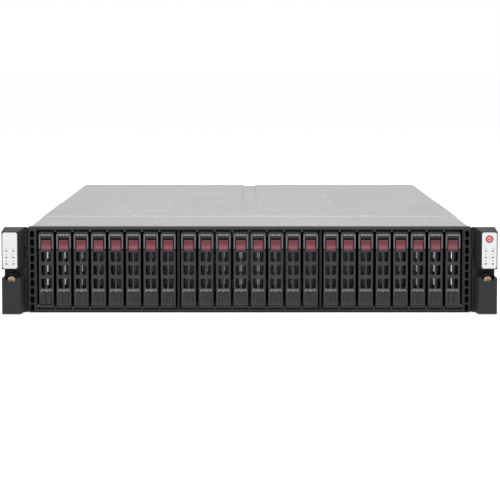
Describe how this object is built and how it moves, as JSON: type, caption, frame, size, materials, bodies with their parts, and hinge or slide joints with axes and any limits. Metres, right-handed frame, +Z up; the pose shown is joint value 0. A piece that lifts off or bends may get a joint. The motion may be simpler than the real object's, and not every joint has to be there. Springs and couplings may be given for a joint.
{
  "type": "rack storage server",
  "caption": "Two-unit rack storage server with hot-swap drive bays behind slotted levers, rack ears with captive thumbscrews, and slide-out controllers and power supplies.",
  "frame": {"origin": "middle of the base of the whole, ear grips and power supply handles included", "axes": "+X to the right seen from the front, +Y to the rear, +Z up"},
  "size_m": [0.4826, 0.7448, 0.0851],
  "materials": {
    "bare_steel": "zinc-plated sheet",
    "black_metal": "black powder coat",
    "supply_case": "plain sheet case",
    "screw_steel": "turned",
    "black_plastic": "fine grain",
    "drive_body": "fine grain",
    "release_red": "satin",
    "pale_panel": "satin",
    "power_red": "translucent look",
    "circuit_board": "solder mask"
  },
  "bodies": {
    "chassis": {"chassis_tray": "bare_steel", "cover_ledges": "bare_steel", "front_frame": "black_metal", "bay_guides": "black_plastic", "bay_partitions": "bare_steel", "front_top_plate": "bare_steel", "rear_covers": "bare_steel", "rear_dividers": "bare_steel", "midplane_board": "circuit_board", "drive_sockets": "black_plastic", "power_boards": "circuit_board", "ear_brackets": "black_metal", "left_ear_housing": "black_plastic", "right_ear_housing": "black_plastic", "panel_plates": "pale_panel"},
    "mid_cover": {"mid_top_cover": "bare_steel"},
    "drive_01": {"drive_01": "drive_body"},
    "drive_01_lever": {"drive_01_lever": "drive_body"},
    "drive_01_button": {"drive_01_button": "release_red"},
    "power_button": {"power_button": "power_red"},
    "left_thumbscrew": {"left_thumbscrew": "screw_steel"},
    "right_thumbscrew": {"right_thumbscrew": "screw_steel"},
    "left_canister": {"left_canister_tray": "bare_steel", "left_canister_panel": "bare_steel", "left_canister_board": "circuit_board", "left_fan_frame": "black_plastic"},
    "left_canister_lever": {"left_canister_lever": "black_plastic"},
    "left_fan_rotor": {"left_fan_rotor": "black_plastic"},
    "left_power_supply": {"left_power_supply": "supply_case"},
    "right_canister": {"right_canister_tray": "bare_steel", "right_canister_panel": "bare_steel", "right_canister_board": "circuit_board", "right_fan_frame": "black_plastic"},
    "right_canister_lever": {"right_canister_lever": "black_plastic"},
    "right_fan_rotor": {"right_fan_rotor": "black_plastic"},
    "right_power_supply": {"right_power_supply": "supply_case"},
    "drive_02": {"drive_02": "drive_body"},
    "drive_03": {"drive_03": "drive_body"},
    "drive_04": {"drive_04": "drive_body"},
    "drive_05": {"drive_05": "drive_body"},
    "drive_06": {"drive_06": "drive_body"},
    "drive_07": {"drive_07": "drive_body"},
    "drive_08": {"drive_08": "drive_body"},
    "drive_09": {"drive_09": "drive_body"},
    "drive_10": {"drive_10": "drive_body"},
    "drive_11": {"drive_11": "drive_body"},
    "drive_12": {"drive_12": "drive_body"},
    "drive_13": {"drive_13": "drive_body"},
    "drive_14": {"drive_14": "drive_body"},
    "drive_15": {"drive_15": "drive_body"},
    "drive_16": {"drive_16": "drive_body"},
    "drive_17": {"drive_17": "drive_body"},
    "drive_18": {"drive_18": "drive_body"},
    "drive_19": {"drive_19": "drive_body"},
    "drive_20": {"drive_20": "drive_body"},
    "drive_21": {"drive_21": "drive_body"},
    "drive_22": {"drive_22": "drive_body"},
    "drive_23": {"drive_23": "drive_body"},
    "drive_24": {"drive_24": "drive_body"}
  },
  "joints": [
    {"name": "mid_cover_lift", "type": "slide", "parent": "chassis", "child": "mid_cover", "axis": [0, 0, 1], "range_m": [0, 0.08]},
    {"name": "drive_01_slide", "type": "slide", "parent": "chassis", "child": "drive_01", "axis": [0, -1, 0], "range_m": [0, 0.135]},
    {"name": "drive_01_lever_hinge", "type": "hinge", "parent": "drive_01", "child": "drive_01_lever", "pos_m": [-0.19945, -0.35345, 0.0106], "axis": [1, 0, 0], "range_deg": [0, 60]},
    {"name": "drive_01_button_push", "type": "slide", "parent": "drive_01", "child": "drive_01_button", "axis": [0, 1, 0], "range_m": [0, 0.0015], "stiffness_N_per_m": 600, "springref_m": -0.002},
    {"name": "power_button_push", "type": "slide", "parent": "chassis", "child": "power_button", "axis": [0, 1, 0], "range_m": [0, 0.0015], "stiffness_N_per_m": 600, "springref_m": -0.002},
    {"name": "left_thumbscrew_turn", "type": "hinge", "parent": "chassis", "child": "left_thumbscrew", "pos_m": [-0.2325, -0.35445, 0.0334], "axis": [0, 1, 0], "continuous": true},
    {"name": "right_thumbscrew_turn", "type": "hinge", "parent": "chassis", "child": "right_thumbscrew", "pos_m": [0.2325, -0.35445, 0.0334], "axis": [0, 1, 0], "continuous": true},
    {"name": "left_canister_slide", "type": "slide", "parent": "chassis", "child": "left_canister", "axis": [0, 1, 0], "range_m": [0, 0.5]},
    {"name": "left_canister_lever_hinge", "type": "hinge", "parent": "left_canister", "child": "left_canister_lever", "pos_m": [-0.2043, 0.35495, 0.0718], "axis": [0, 0, 1], "range_deg": [0, 75]},
    {"name": "left_power_supply_slide", "type": "slide", "parent": "chassis", "child": "left_power_supply", "axis": [0, 1, 0], "range_m": [0, 0.28]},
    {"name": "left_fan_spin", "type": "hinge", "parent": "left_canister", "child": "left_fan_rotor", "pos_m": [-0.15238, -0.20445, 0.0375], "axis": [0, 1, 0], "continuous": true},
    {"name": "right_canister_slide", "type": "slide", "parent": "chassis", "child": "right_canister", "axis": [0, 1, 0], "range_m": [0, 0.5]},
    {"name": "right_canister_lever_hinge", "type": "hinge", "parent": "right_canister", "child": "right_canister_lever", "pos_m": [0.2043, 0.35495, 0.0718], "axis": [0, 0, -1], "range_deg": [0, 75]},
    {"name": "right_power_supply_slide", "type": "slide", "parent": "chassis", "child": "right_power_supply", "axis": [0, 1, 0], "range_m": [0, 0.28]},
    {"name": "right_fan_spin", "type": "hinge", "parent": "right_canister", "child": "right_fan_rotor", "pos_m": [0.15238, -0.20445, 0.0375], "axis": [0, 1, 0], "continuous": true},
    {"name": "drive_02_slide", "type": "slide", "parent": "chassis", "child": "drive_02", "axis": [0, -1, 0], "range_m": [0, 0.135]},
    {"name": "drive_03_slide", "type": "slide", "parent": "chassis", "child": "drive_03", "axis": [0, -1, 0], "range_m": [0, 0.135]},
    {"name": "drive_04_slide", "type": "slide", "parent": "chassis", "child": "drive_04", "axis": [0, -1, 0], "range_m": [0, 0.135]},
    {"name": "drive_05_slide", "type": "slide", "parent": "chassis", "child": "drive_05", "axis": [0, -1, 0], "range_m": [0, 0.135]},
    {"name": "drive_06_slide", "type": "slide", "parent": "chassis", "child": "drive_06", "axis": [0, -1, 0], "range_m": [0, 0.135]},
    {"name": "drive_07_slide", "type": "slide", "parent": "chassis", "child": "drive_07", "axis": [0, -1, 0], "range_m": [0, 0.135]},
    {"name": "drive_08_slide", "type": "slide", "parent": "chassis", "child": "drive_08", "axis": [0, -1, 0], "range_m": [0, 0.135]},
    {"name": "drive_09_slide", "type": "slide", "parent": "chassis", "child": "drive_09", "axis": [0, -1, 0], "range_m": [0, 0.135]},
    {"name": "drive_10_slide", "type": "slide", "parent": "chassis", "child": "drive_10", "axis": [0, -1, 0], "range_m": [0, 0.135]},
    {"name": "drive_11_slide", "type": "slide", "parent": "chassis", "child": "drive_11", "axis": [0, -1, 0], "range_m": [0, 0.135]},
    {"name": "drive_12_slide", "type": "slide", "parent": "chassis", "child": "drive_12", "axis": [0, -1, 0], "range_m": [0, 0.135]},
    {"name": "drive_13_slide", "type": "slide", "parent": "chassis", "child": "drive_13", "axis": [0, -1, 0], "range_m": [0, 0.135]},
    {"name": "drive_14_slide", "type": "slide", "parent": "chassis", "child": "drive_14", "axis": [0, -1, 0], "range_m": [0, 0.135]},
    {"name": "drive_15_slide", "type": "slide", "parent": "chassis", "child": "drive_15", "axis": [0, -1, 0], "range_m": [0, 0.135]},
    {"name": "drive_16_slide", "type": "slide", "parent": "chassis", "child": "drive_16", "axis": [0, -1, 0], "range_m": [0, 0.135]},
    {"name": "drive_17_slide", "type": "slide", "parent": "chassis", "child": "drive_17", "axis": [0, -1, 0], "range_m": [0, 0.135]},
    {"name": "drive_18_slide", "type": "slide", "parent": "chassis", "child": "drive_18", "axis": [0, -1, 0], "range_m": [0, 0.135]},
    {"name": "drive_19_slide", "type": "slide", "parent": "chassis", "child": "drive_19", "axis": [0, -1, 0], "range_m": [0, 0.135]},
    {"name": "drive_20_slide", "type": "slide", "parent": "chassis", "child": "drive_20", "axis": [0, -1, 0], "range_m": [0, 0.135]},
    {"name": "drive_21_slide", "type": "slide", "parent": "chassis", "child": "drive_21", "axis": [0, -1, 0], "range_m": [0, 0.135]},
    {"name": "drive_22_slide", "type": "slide", "parent": "chassis", "child": "drive_22", "axis": [0, -1, 0], "range_m": [0, 0.135]},
    {"name": "drive_23_slide", "type": "slide", "parent": "chassis", "child": "drive_23", "axis": [0, -1, 0], "range_m": [0, 0.135]},
    {"name": "drive_24_slide", "type": "slide", "parent": "chassis", "child": "drive_24", "axis": [0, -1, 0], "range_m": [0, 0.135]}
  ]
}
